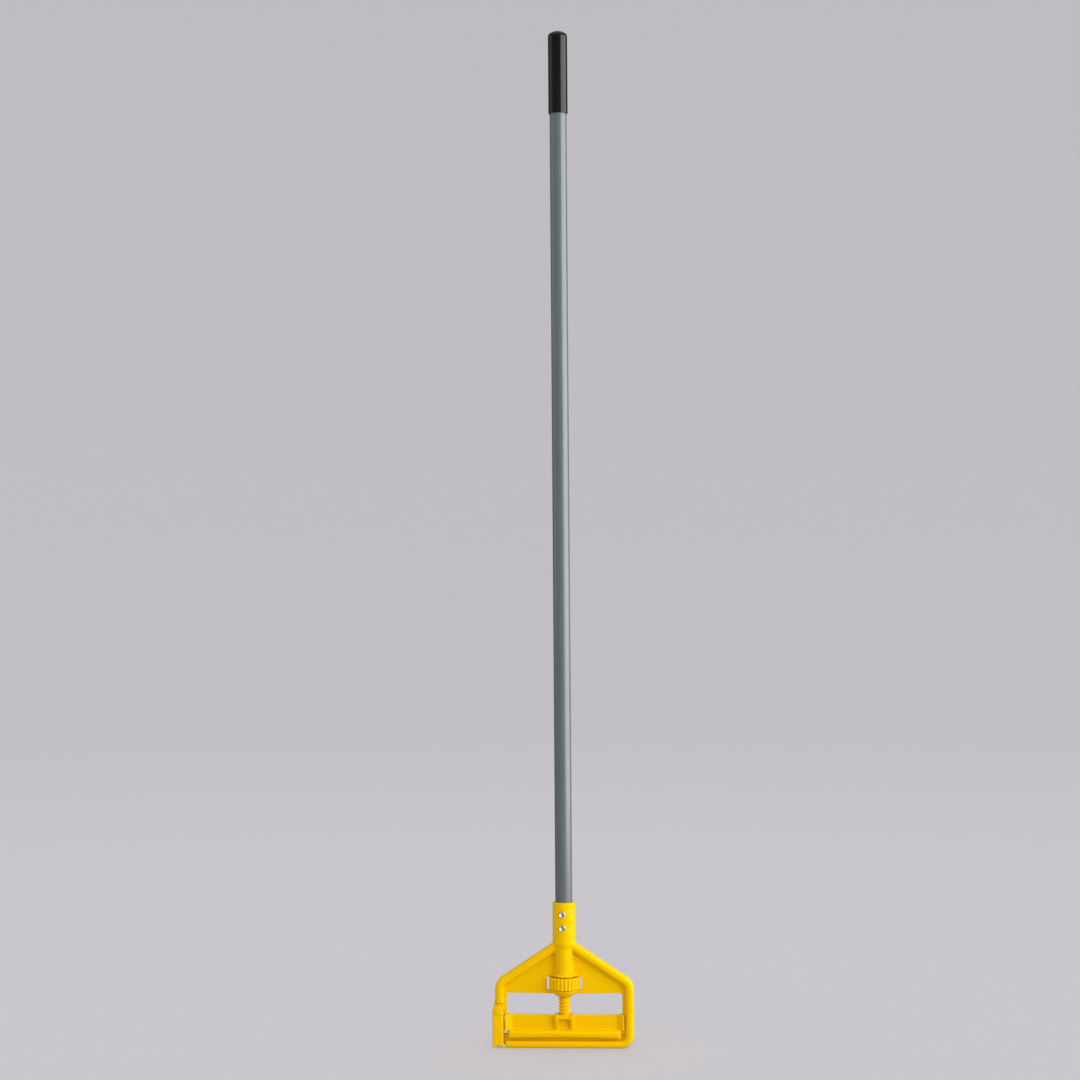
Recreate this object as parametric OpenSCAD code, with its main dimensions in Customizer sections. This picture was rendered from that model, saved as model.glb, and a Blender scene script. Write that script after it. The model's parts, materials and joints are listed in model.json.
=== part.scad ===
// Side-gate wet mop handle: a long pole with a screw clamp head that grips a mop's headband.
//
// Frame: the Z axis is the pole's axis, Z = 0 is the underside of the head's bottom bar,
// -Y is the front (the riveted side) and the swinging gate is on the -X side.

/* [Overall] */
// Length of the whole tool, foot of the head to top of the grip
total_len = 1524; // [1372:1:1600]

/* [Pole and grip] */
// Outside diameter of the fibreglass tube
pole_d = 25.4; // [25:0.1:25.6]
// Wall of the fibreglass tube
pole_wall = 3.2; // [2.6:0.1:3.6]
// Length of the black hand grip
grip_len = 124; // [100:1:160]
// Thickness of the grip's vinyl wall
grip_wall = 1.7; // [1.4:0.1:2.4]

/* [Head frame] */
// Outside width of the frame, across the two side rails
frame_w = 208; // [204:1:212]
// Width of the rounded rim, seen from the front
rim_w = 13; // [12:0.5:13.5]
// Depth of the rim, front to back
rim_t = 20; // [19:0.5:21]
// Thickness of the web and of the guide flanges
web_t = 5; // [4.6:0.1:5]
// Slope of the two roof arms, in degrees
roof_slope = 33.5; // [33:0.1:34]
// Height at which the two roof lines would cross on the pole's axis
roof_peak = 168; // [167:0.5:169]
// Height of the socket's mouth
socket_top = 218; // [216:1:226]
// Outside diameter of the socket
socket_d = 34; // [33:0.5:35]
// Outside diameter of the barrel under the socket
barrel_d = 29.2; // [28.6:0.1:30]
// Height of the bottom bar
bar_h = 10.8; // [10:0.1:11]
// Height of the rib that stands on the bottom bar, from the foot
rib_top = 20.5; // [19.5:0.1:20.6]

/* [Clamp] */
// Outside diameter of the thumb wheel
wheel_d = 45.8; // [44:0.2:46]
// Number of grip ribs round the thumb wheel
wheel_ribs = 24; // [20:1:26]
// Crest diameter of the screw
screw_d = 18; // [17.6:0.1:18.2]
// Depth of the screw's thread
thread_depth = 1.75; // [1.5:0.05:1.9]
// Lead of the single-start thread
pitch = 5; // [4:0.5:6]
// How far the jaw lifts; the screw is cut to leave room for it in the barrel
jaw_lift = 25; // [20:1:25]

/* [Gate] */
// Height of the gate's hinge pin
hinge_z = 55.5; // [55:0.1:56]
// Diameter of the hinge pin
pin_d = 6; // [5:0.1:6.4]

/* [Hidden] */
$fn = 72;
play = 0.05;          // radial play of a running fit
snug = 0.02;          // radial play of a fit that never moves
over = 1;             // overshoot of a cutting tool past the face it cuts

yellow = [0.97, 0.74, 0.02];
grey = [0.42, 0.47, 0.48];
black = [0.07, 0.07, 0.07];
silver = [0.80, 0.81, 0.83];
steel = [0.55, 0.56, 0.58];

// Frame
rail_x = frame_w / 2 - rim_w / 2;             // centre line of a side rail
rail_in = frame_w / 2 - rim_w;                // inner face of a side rail
shoulder_r = 15.5;                            // centre-line radius where roof meets rail
corner_r = 13.5;                              // centre-line radius of the bottom right corner
rim_bevel = 4;
flange_show = 4.3;                            // how far the guide flange stands in from the rim
flange_in = rail_in - flange_show;
arm_root = 8;                                 // the roof arms run in to this distance from the axis
roof_mid = roof_peak - rim_w / 2 / cos(roof_slope);
shoulder_z = roof_mid - rail_x * tan(roof_slope) - shoulder_r * tan((90 - roof_slope) / 2);
shoulder_x = rail_x - shoulder_r;
web_low = 80.6;                               // web's lower edge on the axis
web_rise = 1.4;                               // how much higher that edge is at the rails
bar_end = 88.3;                               // free end of the bottom bar
bar_bevel = 3.5;
side_gap = 0.3;                               // side clearance of a slot that straddles the web

// Socket, barrel, ring and boss, all on the pole's axis
socket_floor = 160;
socket_foot = 156;
barrel_top = 149;
ring_d = 36.2;
ring_z = 107;
ring_h = 2.7;
boss_d = 37.5;
boss_top = 87;
boss_rim = 3.4;
boss_low = 76.3;
boss_nose_d = 20;
screw_bore_d = screw_d + 1.2;
window_w = 52.8;                              // opening in the web for the thumb wheel
window_top = 105.9;

// Gate hinge and latch
hinge_x = -100;
gate_r = 8;                                   // round top of the gate, about the pin
gate_in = -91.5;
gate_low = 2.5;
gate_t = 22;
lug_t = 12;                                   // lug on the arm, between the gate's ears
lug_r = 6.5;
lug_out = -105.6;
lug_in = -91.6;
arm_foot = 66.8;                              // underside of the arm's rim
arm_flare = 3.5;                              // height of the taper from the rim to the lug
flange_foot = 47;                             // lower end of the left flange
fork_side = 0.2;                              // side clearance of the gate's fork over the lug
fork_deep = 9.5;                              // pin's centre to the floor of the fork
latch_low = 4.6;
latch_tip = -98;
latch_gap = 0.6;                              // clearance under the latch tongue
latch_swing = 1.7;                            // headroom it needs as the gate swings past
latch_end = 1;                                // clearance beyond its tip
tab_low = 27;
tab_top = 40;
tab_tip = -87.6;
pin_head_d = 9;
pin_head_h = 1.2;

// Wheel
wheel_low = 87.6;
wheel_top = 105.3;
hub_d = 23;
wheel_float = 0.25;                           // end float between the boss and the ring
hub_low = boss_top + wheel_float;
hub_top = ring_z - wheel_float;
wheel_rib_r = 2.1;
wheel_groove = 1.7;                           // depth of the grooves between the grip ribs
wheel_bevel = 1.2;

// Thread
root_r = screw_d / 2 - thread_depth;
nut_clear = 0.5;                              // radial room between screw and wheel
thread_points = 16;                           // points round one section of the thread
thread_slices = 16;                           // slices in one turn of the thread
screw_room = 10;                              // left above the screw when the jaw is right up
screw_tip = socket_floor - jaw_lift - screw_room;
screw_top = screw_tip - 3;                    // end of the thread
tip_d = 13.5;

// Jaw
jaw_low = 13.8;
jaw_bow = 1.6;                                // how far the jaw's lips arch up in the middle
roll_x = 84;
roll_t = 25;
roll_top = 27;
roll_bevel = 5;
jaw_top = 49.5;
jaw_plate_t = 6;
groove_t = 6.2;
groove_top = 22;
guide_in = 78;
guide_thick = 86;                             // where the guide's wedge reaches full depth
guide_out = 89.8;
guide_low = 25.6;
guide_t = 18;
guide_gap = 0.5;                              // clearance at the inner edge of the flange
yoke_x = 13.8;
yoke_rib = 4.8;
yoke_t = 20;
yoke_toe_t = 10;                              // depth of the yoke's ribs where they meet the roll
yoke_heel = 41.2;                             // height below which they taper
collar_low = 43.2;
slot_fit = 0.1;                               // play of the screw's foot in its slot

// Screw foot, a square flange trapped in the jaw's collar so that the screw cannot turn
neck_d = 14;
neck_low = 43.6;
thread_start = jaw_top + 0.4;
foot_low = 44.9;
foot_top = 47.4;
foot_w = 17;

// Rivets
rivet_z = [201.0, 180.6];
rivet_turn = -6.5;                            // drilled a little towards the gate from the front
rivet_d = 4.8;
rivet_head_d = 9.5;
rivet_head_h = 2.2;
rivet_seat = 16.4;                            // flat under the head, from the pole's axis
seat_d = 10.1;
bulb_d = 7.4;
bulb_in = 4.5;                                // the bulb's two ends, from the pole's axis
bulb_out = 8.7;
dish_d = 6.4;                                 // hollow in the head, down to the broken mandrel
dish_deep = 1.4;
mandrel_d = 2.8;
mandrel_head_d = 4.6;
mandrel_head_h = 1.9;

// Pole and grip
grip_d = pole_d + 2 * grip_wall;
grip_cap = 4;                                 // vinyl over the end of the tube
grip_dome = 27;                               // radius of the grip's domed end
pole_low = socket_floor + 0.5;
pole_top = total_len - grip_cap;

// ---------------------------------------------------------------- shared shapes

// A slab of thickness t, cut to a flat outline drawn in X and Z.
module slab(t) {
    rotate([90, 0, 0])
        linear_extrude(t, center = true)
            children();
}

// A box given by its X range and Z range, centred on Y.
module block(x0, x1, z0, z1, t) {
    translate([x0, -t / 2, z0])
        cube([x1 - x0, t, z1 - z0]);
}

// A cylinder on the pole's axis between two heights.
module on_axis(d, z0, z1) {
    translate([0, 0, z0])
        cylinder(d = d, h = z1 - z0);
}

// A cylinder from the pole's axis out through the front.
module to_front(d, length) {
    rotate([90, 0, 0])
        cylinder(d = d, h = length);
}

// Puts a shape at each rivet; the shape's own front, -Y, becomes the rivet's outward direction.
module at_rivets()
    for (z = rivet_z)
        translate([0, 0, z])
            rotate([0, 0, rivet_turn])
                children();

// A cylinder on the gate's hinge line, centred on the web.
module on_hinge(r, length) {
    translate([hinge_x, 0, hinge_z])
        rotate([90, 0, 0])
            cylinder(r = r, h = length, center = true);
}

// A rectangle w by t with its four corners bevelled by c.
module bevelled(w, t, c) {
    a = w / 2;
    b = t / 2;
    polygon([[a, c - b], [a, b - c], [a - c, b], [c - a, b],
             [-a, b - c], [-a, c - b], [c - a, -b], [a - c, -b]]);
}

// A straight run of rim between two points of the X-Z plane.
module rim_run(from, to) {
    d = to - from;
    translate([from[0], 0, from[1]])
        rotate([0, atan2(d[0], d[1]), 0])
            linear_extrude(norm(d))
                bevelled(rim_w, rim_t, rim_bevel);
}

// A bend of rim about a centre in the X-Z plane, from angle a0 to a1.
module rim_bend(centre, r, a0, a1) {
    translate([centre[0], 0, centre[1]])
        rotate([90, 0, 0])
            rotate([0, 0, a0])
                rotate_extrude(angle = a1 - a0)
                    translate([r, 0])
                        bevelled(rim_w, rim_t, rim_bevel);
}

// Radius of the thread at a share u of one turn: root, flank, crest, flank.
function thread_r(u, grow) =
    root_r + grow + thread_depth * max(0, min(1, 4 * abs(u - 0.5) - 0.5));

// The threaded core between two heights, right-handed, in phase with every other thread here.
module thread(z0, z1, grow) {
    section = [for (i = [0:thread_points - 1])
        let (u = i / thread_points) thread_r(u, grow) * [cos(360 * u), sin(360 * u)]];
    turns = (z1 - z0) / pitch;
    translate([0, 0, z0])
        rotate([0, 0, 360 * z0 / pitch])
            linear_extrude(z1 - z0, twist = -360 * turns, slices = round(turns * thread_slices),
                           $fn = thread_points)
                polygon(section);
}

// ---------------------------------------------------------------- head frame

// One roof arm with its rounded shoulder, on the +X side.
module roof_arm() {
    end = 90 - roof_slope;
    tip = [arm_root, roof_mid - arm_root * tan(roof_slope)];
    rim_bend([shoulder_x, shoulder_z], shoulder_r, 0, end);
    rim_run([shoulder_x, shoulder_z] + shoulder_r * [cos(end), sin(end)], tip);
}

// Right rail and bottom right corner of the rim.
module right_rail() {
    rim_run([rail_x, rim_w / 2 + corner_r], [rail_x, shoulder_z]);
    rim_bend([rail_x - corner_r, rim_w / 2 + corner_r], corner_r, -90, 0);
}

// Left arm, down to the lug that carries the gate.
module left_arm() {
    rim_run([-rail_x, arm_foot], [-rail_x, shoulder_z]);
    slab(lug_t)
        polygon([[-frame_w / 2, arm_foot + arm_flare], [lug_out, arm_foot], [lug_out, hinge_z + 3],
                 [hinge_x - lug_r, hinge_z], [hinge_x + lug_r, hinge_z], [lug_in, hinge_z + 3],
                 [lug_in, arm_foot + arm_flare]]);
    on_hinge(lug_r, lug_t);
}

// Bottom bar, its standing rib and the latch tongue at its free end.
module bottom_bar() {
    translate([-bar_end, 0, bar_h / 2])
        rotate([0, 90, 0])
            linear_extrude(bar_end + rail_x - corner_r)
                bevelled(bar_h, rim_t, bar_bevel);
    block(-bar_end, rail_x, bar_h / 2, rib_top, web_t);
    block(latch_tip, -bar_end + over, latch_low, rib_top, web_t);
}

// Thin web under the roof, and the flanges on which the jaw slides.
module web() {
    roof_x = shoulder_x + shoulder_r * sin(roof_slope);
    roof_z = roof_mid - roof_x * tan(roof_slope);
    edge = web_low + web_rise;
    slab(web_t)
        polygon([[0, web_low], [rail_x, edge], [rail_x, shoulder_z], [roof_x, roof_z],
                 [0, roof_mid], [-roof_x, roof_z], [-rail_x, shoulder_z], [-rail_x, edge]]);
    block(flange_in, rail_x, bar_h / 2, edge + over, web_t);
    block(-rail_x, -flange_in, flange_foot, edge + over, web_t);
}

// Socket for the pole, barrel for the screw, ring over the wheel and boss under it.
module socket() {
    rotate_extrude()
        polygon([[0, boss_low], [boss_nose_d / 2, boss_low], [boss_d / 2, boss_top - boss_rim],
                 [boss_d / 2, boss_top], [0, boss_top]]);
    rotate_extrude()
        polygon([[0, ring_z], [ring_d / 2, ring_z], [ring_d / 2, ring_z + ring_h],
                 [barrel_d / 2, ring_z + ring_h], [barrel_d / 2, barrel_top],
                 [socket_d / 2, socket_foot], [socket_d / 2, socket_top - over],
                 [socket_d / 2 - over, socket_top], [0, socket_top]]);
}

module head_frame() color(yellow) {
    difference() {
        union() {
            roof_arm();
            mirror([1, 0, 0]) roof_arm();
            right_rail();
            left_arm();
            bottom_bar();
            web();
            socket();
        }
        block(-window_w / 2, window_w / 2, boss_top, window_top, rim_t);
        on_axis(ring_d + over, boss_top, ring_z);
        on_axis(pole_d + 2 * play, socket_floor, socket_top + over);
        on_axis(screw_bore_d, boss_low - over, socket_floor + over);
        on_hinge(pin_d / 2 + play, lug_t + over);
        at_rivets() {
            to_front(rivet_d + 2 * play, socket_d);
            translate([0, -rivet_seat, 0])
                to_front(seat_d, socket_d);
        }
    }
}

// ---------------------------------------------------------------- pole and grip

module pole_tube() color(grey) {
    difference() {
        on_axis(pole_d, pole_low, pole_top);
        on_axis(pole_d - 2 * pole_wall, pole_low - over, pole_top + over);
        at_rivets()
            to_front(rivet_d + 2 * play, socket_d);
    }
}

module hand_grip() color(black) {
    low = total_len - grip_len;
    dome_z = total_len - grip_dome;
    difference() {
        union() {
            on_axis(grip_d, low, dome_z);
            intersection() {
                on_axis(grip_d, dome_z - over, total_len);
                translate([0, 0, dome_z])
                    sphere(r = grip_dome);
            }
        }
        on_axis(pole_d + 2 * snug, low - over, pole_top);
    }
}

// ---------------------------------------------------------------- rivets

// One blind rivet's sleeve: dished round head, shank and the bulb drawn up inside the tube.
module rivet_body() {
    head_r = rivet_head_d / 2;
    dome_r = (head_r * head_r + rivet_head_h * rivet_head_h) / (2 * rivet_head_h);
    head_top = rivet_seat + rivet_head_h;
    rotate([90, 0, 0])
        difference() {
            union() {
                translate([0, 0, bulb_in])
                    cylinder(d = rivet_d, h = rivet_seat + 0.1 - bulb_in);
                translate([0, 0, rivet_seat])
                    intersection() {
                        cylinder(d = rivet_head_d, h = rivet_head_h);
                        translate([0, 0, rivet_head_h - dome_r])
                            sphere(r = dome_r);
                    }
                translate([0, 0, bulb_in])
                    cylinder(d = bulb_d, h = bulb_out - bulb_in);
            }
            cylinder(d = mandrel_d + 2 * play, h = socket_d);
            translate([0, 0, head_top - dish_deep])
                cylinder(d1 = mandrel_d, d2 = dish_d, h = dish_deep + 0.01);
        }
}

// The stub of steel mandrel that stays in the rivet, its head pulled against the bulb.
module rivet_mandrel() {
    stub_top = rivet_seat + rivet_head_h - dish_deep - 0.2;
    rotate([90, 0, 0]) {
        translate([0, 0, bulb_in - mandrel_head_h])
            cylinder(d = mandrel_head_d, h = mandrel_head_h);
        translate([0, 0, bulb_in - over])
            cylinder(d = mandrel_d, h = stub_top - bulb_in + over);
    }
}

module rivet_bodies() color(silver)
    at_rivets()
        rivet_body();

module rivet_mandrels() color(steel)
    at_rivets()
        rivet_mandrel();

// ---------------------------------------------------------------- clamp

module thumb_wheel() color(yellow) {
    r = wheel_d / 2;
    difference() {
        union() {
            intersection() {
                translate([0, 0, wheel_low])
                    linear_extrude(wheel_top - wheel_low) {
                        circle(r = r - wheel_groove);
                        for (i = [0:wheel_ribs - 1])
                            rotate((i + 0.5) * 360 / wheel_ribs)
                                translate([r - wheel_rib_r, 0])
                                    circle(r = wheel_rib_r);
                    }
                rotate_extrude()
                    polygon([[0, wheel_low], [r - wheel_bevel, wheel_low],
                             [r + over, wheel_low + wheel_bevel + over],
                             [r + over, wheel_top - wheel_bevel - over],
                             [r - wheel_bevel, wheel_top], [0, wheel_top]]);
            }
            on_axis(hub_d, hub_low, hub_top);
        }
        thread(hub_low - over, hub_top + over, nut_clear);
    }
}

module clamp_screw() color(yellow) {
    thread(thread_start, screw_top, 0);
    on_axis(tip_d, screw_top - over, screw_tip);
    on_axis(neck_d, neck_low, jaw_top + over);
    block(-foot_w / 2, foot_w / 2, foot_low, foot_top, foot_w);
}

// The wedge-shaped end of the jaw that straddles the frame's flange, on the +X side.
module jaw_guide() {
    a = jaw_plate_t / 2;
    b = guide_t / 2;
    difference() {
        translate([0, 0, guide_low])
            linear_extrude(jaw_top - guide_low)
                polygon([[guide_in - over, -a], [guide_in, -a], [guide_thick, -b], [guide_out, -b],
                         [guide_out, b], [guide_thick, b], [guide_in, a], [guide_in - over, a]]);
        block(flange_in - guide_gap, guide_out + over, guide_low - over, jaw_top + over,
              web_t + 2 * side_gap);
    }
}

// Two ribs and a collar that hold the screw's foot.
module jaw_yoke() {
    a = yoke_toe_t / 2;
    b = yoke_t / 2;
    for (side = [-1, 1])
        translate([side * (yoke_x - yoke_rib / 2), 0, 0])
            rotate([90, 0, 90])
                linear_extrude(yoke_rib, center = true)
                    polygon([[-b, jaw_top], [b, jaw_top], [b, yoke_heel], [a, roll_top - over],
                             [-a, roll_top - over], [-b, yoke_heel]]);
    block(-yoke_x, yoke_x, collar_low, jaw_top, yoke_t);
}

// Grooved roll that presses the headband down over the rib.
module jaw_roll() {
    bow_r = (roll_x * roll_x + jaw_bow * jaw_bow) / (2 * jaw_bow);
    difference() {
        translate([-roll_x, 0, (jaw_low + roll_top) / 2])
            rotate([0, 90, 0])
                linear_extrude(2 * roll_x)
                    bevelled(roll_top - jaw_low, roll_t, roll_bevel);
        translate([0, 0, jaw_low + jaw_bow - bow_r])
            rotate([90, 0, 0])
                cylinder(r = bow_r, h = roll_t + over, center = true, $fn = 720);
        block(-roll_x - over, roll_x + over, jaw_low - over, groove_top, groove_t);
    }
}

module clamp_jaw() color(yellow) {
    difference() {
        union() {
            jaw_roll();
            block(-guide_in - over, guide_in + over, groove_top, jaw_top, jaw_plate_t);
            jaw_guide();
            mirror([1, 0, 0]) jaw_guide();
            jaw_yoke();
        }
        slot_from_front(neck_d, collar_low - over, jaw_top + over);
        slot_from_front(foot_w, foot_low - slot_fit, foot_top + slot_fit);
    }
}

// Cutter for a slot of width w that runs from the front of the collar to just behind the axis.
module slot_from_front(w, z0, z1) {
    half = w / 2 + slot_fit;
    translate([-half, -yoke_t / 2 - over, z0])
        cube([2 * half, yoke_t / 2 + over + half, z1 - z0]);
}

// ---------------------------------------------------------------- gate

module side_gate() color(yellow) {
    back = hinge_x - gate_r;
    difference() {
        union() {
            on_hinge(gate_r, gate_t);
            block(back, gate_in, gate_low, hinge_z, gate_t);
            block(gate_in - over, tab_tip, tab_low, tab_top, web_t);
        }
        block(back - over, gate_in + over, hinge_z - fork_deep, hinge_z + gate_r + over,
              lug_t + 2 * fork_side);
        block(latch_tip - latch_end, gate_in + over, latch_low - latch_gap, rib_top + latch_swing,
              web_t + 2 * side_gap);
        on_hinge(pin_d / 2 + snug, gate_t + over);
    }
}

module gate_pin() color(yellow) {
    on_hinge(pin_d / 2, gate_t + pin_head_h);
    for (side = [-1, 1])
        translate([0, side * (gate_t + pin_head_h) / 2, 0])
            on_hinge(pin_head_d / 2, pin_head_h);
}

// ---------------------------------------------------------------- nodes

head_frame();
pole_tube();
hand_grip();
rivet_bodies();
rivet_mandrels();
thumb_wheel();
clamp_screw();
clamp_jaw();
side_gate();
gate_pin();
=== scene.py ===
"""Side-gate wet mop handle: its looks, a plain pale studio and the camera.

Every plastic part of the clamp head is a closed-form shape, written as a signed distance in
millimetres, then meshed; the round parts are turned from a rounded outline.
"""

import json
import math

import bpy
import numpy as np
import openvdb as vdb
from mathutils import Matrix, Vector


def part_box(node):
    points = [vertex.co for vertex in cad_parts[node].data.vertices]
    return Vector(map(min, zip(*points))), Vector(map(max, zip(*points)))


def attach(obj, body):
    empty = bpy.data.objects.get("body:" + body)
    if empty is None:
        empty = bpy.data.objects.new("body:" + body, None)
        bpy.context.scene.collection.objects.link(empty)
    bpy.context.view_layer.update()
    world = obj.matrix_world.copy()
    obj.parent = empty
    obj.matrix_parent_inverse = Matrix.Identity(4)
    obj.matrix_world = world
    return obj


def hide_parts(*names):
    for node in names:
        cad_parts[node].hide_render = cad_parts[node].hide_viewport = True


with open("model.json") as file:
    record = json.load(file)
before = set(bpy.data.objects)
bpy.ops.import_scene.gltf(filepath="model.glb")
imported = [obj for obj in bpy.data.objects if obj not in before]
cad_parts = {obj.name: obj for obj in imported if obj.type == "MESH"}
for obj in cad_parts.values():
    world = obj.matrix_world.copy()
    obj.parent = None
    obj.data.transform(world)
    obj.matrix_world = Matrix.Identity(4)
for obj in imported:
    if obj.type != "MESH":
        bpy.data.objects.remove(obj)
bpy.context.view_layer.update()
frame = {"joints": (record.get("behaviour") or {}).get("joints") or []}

MM = 0.001
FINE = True


def millimetres(place):
    """A place in metres, as millimetres to the nearest hundredth."""
    return [round(v / MM, 2) for v in place]


def box(node):
    """A CAD node's lowest and highest corners at rest, in millimetres."""
    return [millimetres(corner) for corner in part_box(node)]


def pivot(name):
    """The point a CAD joint turns about, in millimetres."""
    return millimetres(next(j["pos_m"] for j in frame["joints"] if j["name"] == name))


# ---------------------------------------------------------------- sizes, in millimetres

HEAD = box("head_frame")
POLE = box("pole_tube")
GRIP = box("hand_grip")
WHEEL = box("thumb_wheel")
SCREW = box("clamp_screw")
JAW = box("clamp_jaw")
GATE = box("side_gate")
PIN = box("gate_pin")

# the pole and its grip; every _LOW, _TOP and _Z is a height above the bar's underside
POLE_R = POLE[1][0]
POLE_WALL = 3.2
POLE_LOW = POLE[0][2]
POLE_TOP = POLE[1][2]
GRIP_R = GRIP[1][0]
GRIP_LOW = GRIP[0][2]
GRIP_TOP = GRIP[1][2]
GRIP_SHOULDER = 1518.2
GRIP_CROWN_R = 7.4

# the head's rim: its left arm, roof and right rail, with rounded shoulders and one corner
RIM_W = 13.0
RIM_T = 20.0
RIM_ROUND = 5.6
RAIL_X = HEAD[1][0] - RIM_W / 2
ROOF_TOP = 168.0
ROOF_SLOPE = math.radians(33.5)
ROOF_COS = math.cos(ROOF_SLOPE)
ROOF_SIN = math.sin(ROOF_SLOPE)
ROOF_MID = ROOF_TOP - RIM_W / 2 / ROOF_COS
SHOULDER_R = 15.5
SHOULDER_X = RAIL_X - SHOULDER_R
SHOULDER_TURN = math.pi / 2 - ROOF_SLOPE
SHOULDER_Z = ROOF_MID - RAIL_X * math.tan(ROOF_SLOPE) - SHOULDER_R * math.tan(SHOULDER_TURN / 2)
CORNER_OUT = 20.0
CORNER_X = 84.0
ARM_FOOT = 66.8

# the thin web and flanges inside the rim, the ribbed bottom bar and its latch tongue
FLANGE_IN = 86.7
FLANGE_FOOT = 47.0
WEB_T = 5.0
WEB_LOW = 80.6
WEB_RISE = 1.4
BAR_H = 10.8
BAR_END = 88.3
BAR_ROUND = 4.8
RIB_TOP = 20.5
LATCH_TIP = -98.0
LATCH_LOW = 4.6

# the column: socket, barrel, ring and boss, with the wheel's window and pocket between them
SOCKET_R = 17.0
SOCKET_TOP = HEAD[1][2]
SOCKET_FLOOR = 160.0
BARREL_R = 14.6
BARREL_TOP = 148.0
BARREL_FLARE = 9.0
RING_R = 18.1
RING_Z = 107.0
RING_H = 2.7
BOSS_R = HEAD[1][1]
BOSS_TOP = 87.0
BOSS_RIM = 83.6
BOSS_LOW = 76.3
BOSS_NOSE = 10.0
BORE_R = 9.6
WINDOW_X = 26.4
WINDOW_TOP = 105.9
POCKET_R = 18.6

# the gate, the lug that holds it, and its pin, measured along its axis from the middle
HINGE_X, _, HINGE_Z = pivot("gate_swing")
PIN_R = 3.0
PIN_CAP_R = 4.5
PIN_CAP_FOOT = 11.0
PIN_CAP_FACE = 11.9
PIN_TIP_R = 2.3
PIN_TIP = PIN[1][1]
LUG_R = 6.5
LUG_T = 12.0
LUG_OUT = -105.6
LUG_IN = -91.6
GATE_OUT = GATE[0][0]
GATE_IN = -91.5
GATE_LOW = GATE[0][2]
GATE_R = 8.0
GATE_T = 2 * GATE[1][1]
FORK_HALF = 6.2
FORK_FLOOR = 46.0
TAB_TIP = GATE[1][0]
TAB_LOW = 27.0
TAB_TOP = 40.0

# the thumb wheel and the screw that runs in it
WHEEL_R = 22.9
WHEEL_LOW = 87.6
WHEEL_TOP = 105.3
WHEEL_RIBS = 24
WHEEL_RIB_R = 2.1
WHEEL_RIB_DEPTH = 1.7
HUB_R = 11.5
HUB_LOW = WHEEL[0][2]
HUB_TOP = WHEEL[1][2]

THREAD_ROOT = 7.25
THREAD_DEPTH = 1.75
THREAD_PITCH = 5.0
THREAD_LOW = 49.9
THREAD_ROOM = 0.4
THREAD_STEEPNESS = 1.8
# keeps a thread's sideways distance from overstating the true one
THREAD_SCALE = 0.45
SCREW_TIP = SCREW[1][2]
SCREW_TIP_R = 6.0
NECK_R = 7.0
NECK_LOW = SCREW[0][2]
FOOT_HALF = 8.5
FOOT_LOW = 44.9
FOOT_TOP = 47.4

# the sliding jaw: a grooved roll, a plate with forked guides and the yoke over the screw's foot
JAW_LOW = JAW[0][2]
JAW_BOW = 1.6
JAW_TOP = JAW[1][2]
JAW_DIP = 0.5
JAW_HALF = 3.0
ROLL_X = 84.0
ROLL_T = 2 * JAW[1][1]
ROLL_TOP = 27.0
ROLL_ROUND = 5.2
GROOVE_TOP = 22.0
GROOVE_HALF = 3.1
GUIDE_LOW = 25.6
GUIDE_OUT = JAW[1][0]
GUIDE_HALF = 9.0
GUIDE_THICK = 87.6
YOKE_X = 13.8
YOKE_RIB = 4.8
YOKE_HALF = 10.0
YOKE_TOE = 5.0
YOKE_HEEL = 41.2
COLLAR_LOW = 43.2

# the two blind rivets; their lengths are distances from the pole's axis
RIVET_Z = (201.0, 180.6)
RIVET_TURN = math.radians(-6.5)
RIVET_BORE = 1.45
RIVET_R = 2.4
RIVET_HEAD_R = 4.75
RIVET_SEAT = 16.4
RIVET_CROWN = 18.6
RIVET_DISH = 16.85
BULB_R = 3.7
BULB_LOW = 4.5
BULB_TOP = 8.7
MANDREL_R = 1.4
MANDREL_KNOB_R = 2.3
MANDREL_END = 2.6
MANDREL_BREAK = 16.84

# fits: a snug hole, the room round a free one, and the web's room in a guide's or a gate's slot
SNUG = 0.05
FREE = 0.1
SLOT_HALF = WEB_T / 2 + 0.3

# ---------------------------------------------------------------- distance arithmetic


def ease(t):
    """A smooth step from 0 to 1 as t goes from 0 to 1."""
    t = np.clip(t, 0.0, 1.0)
    return t * t * (3 - 2 * t)


def join(a, b, r):
    """Union of two shapes, with a fillet of radius r where they meet."""
    return np.maximum(r, np.minimum(a, b)) - np.hypot(np.maximum(r - a, 0), np.maximum(r - b, 0))


def meet(a, b, r):
    """What two shapes share, with its new edges rounded to radius r."""
    return np.minimum(-r, np.maximum(a, b)) + np.hypot(np.maximum(r + a, 0), np.maximum(r + b, 0))


def cut(a, b, r):
    """Shape a without shape b, the lips rounded to radius r."""
    return meet(a, -b, r)


def span(v, low, high):
    """Distance from the range low..high of one coordinate."""
    return np.abs(v - (low + high) / 2) - (high - low) / 2


def rod(line, depth, half, half_depth, r):
    """A bar with a rounded rectangular section, from the distances to its two middle planes."""
    a = line - half + r
    b = depth - half_depth + r
    return np.hypot(np.maximum(a, 0), np.maximum(b, 0)) + np.minimum(np.maximum(a, b), 0) - r


# ---------------------------------------------------------------- the moulded parts


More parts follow.
